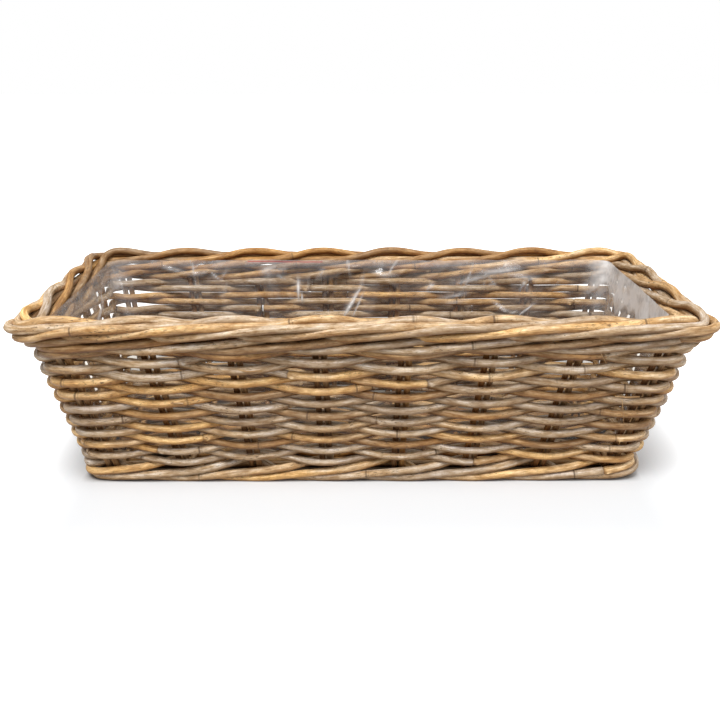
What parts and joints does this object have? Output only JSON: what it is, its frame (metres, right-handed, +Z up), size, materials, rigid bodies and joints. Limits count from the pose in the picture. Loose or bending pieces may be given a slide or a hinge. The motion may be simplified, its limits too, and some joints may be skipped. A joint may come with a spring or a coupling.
{
  "type": "balcony planter basket",
  "caption": "Flared rectangular trough basket of woven rattan rods with a rope-like rim and a clear film liner, to stand on a balcony and hold potted plants.",
  "frame": {"origin": "on the ground under the middle of the base", "axes": "+X along the length, +Y towards the back, +Z up"},
  "size_m": [0.65, 0.276, 0.1914],
  "materials": {
    "cross_stake_rattan": "dry bark, matt",
    "end_stake_rattan": "dry bark, matt",
    "honey_weaver_rattan": "peeled rod, satin",
    "grey_weaver_rattan": "weathered rod, matt",
    "brown_weaver_rattan": "dry rod, matt",
    "bottom_wale_rattan": "dry rod, matt",
    "top_wale_rattan": "peeled rod, satin",
    "base_rattan": "dry rod, matt",
    "clear_film": "clear, glossy, crinkled"
  },
  "bodies": {
    "root": {"cross_stake_pair_1": "cross_stake_rattan", "cross_stake_pair_2": "cross_stake_rattan", "cross_stake_pair_3": "cross_stake_rattan", "cross_stake_pair_4": "cross_stake_rattan", "cross_stake_pair_5": "cross_stake_rattan", "cross_stake_pair_6": "cross_stake_rattan", "cross_stake_pair_7": "cross_stake_rattan", "cross_stake_pair_8": "cross_stake_rattan", "end_stake_pair_1": "end_stake_rattan", "end_stake_pair_2": "end_stake_rattan", "end_stake_pair_3": "end_stake_rattan", "end_stake_pair_4": "end_stake_rattan", "weaver_course_01": "honey_weaver_rattan", "weaver_course_02": "grey_weaver_rattan", "weaver_course_03": "brown_weaver_rattan", "weaver_course_04": "honey_weaver_rattan", "weaver_course_05": "grey_weaver_rattan", "weaver_course_06": "brown_weaver_rattan", "weaver_course_07": "honey_weaver_rattan", "weaver_course_08": "grey_weaver_rattan", "weaver_course_09": "brown_weaver_rattan", "weaver_course_10": "honey_weaver_rattan", "weaver_course_11": "grey_weaver_rattan", "weaver_course_12": "brown_weaver_rattan", "weaver_course_13": "honey_weaver_rattan", "weaver_course_14": "grey_weaver_rattan", "weaver_course_15": "brown_weaver_rattan", "weaver_course_16": "honey_weaver_rattan", "weaver_course_17": "grey_weaver_rattan", "weaver_course_18": "brown_weaver_rattan", "bottom_wale_rod_1": "bottom_wale_rattan", "bottom_wale_rod_2": "bottom_wale_rattan", "bottom_wale_rod_3": "bottom_wale_rattan", "top_wale_rod_1": "top_wale_rattan", "top_wale_rod_2": "top_wale_rattan", "top_wale_rod_3": "top_wale_rattan", "base_rod_1": "base_rattan", "base_rod_2": "base_rattan", "base_rod_3": "base_rattan", "base_rod_4": "base_rattan", "base_rod_5": "base_rattan", "base_rod_6": "base_rattan", "base_rod_7": "base_rattan", "base_rod_8": "base_rattan", "base_rod_9": "base_rattan", "film_liner": "clear_film"}
  },
  "joints": []
}
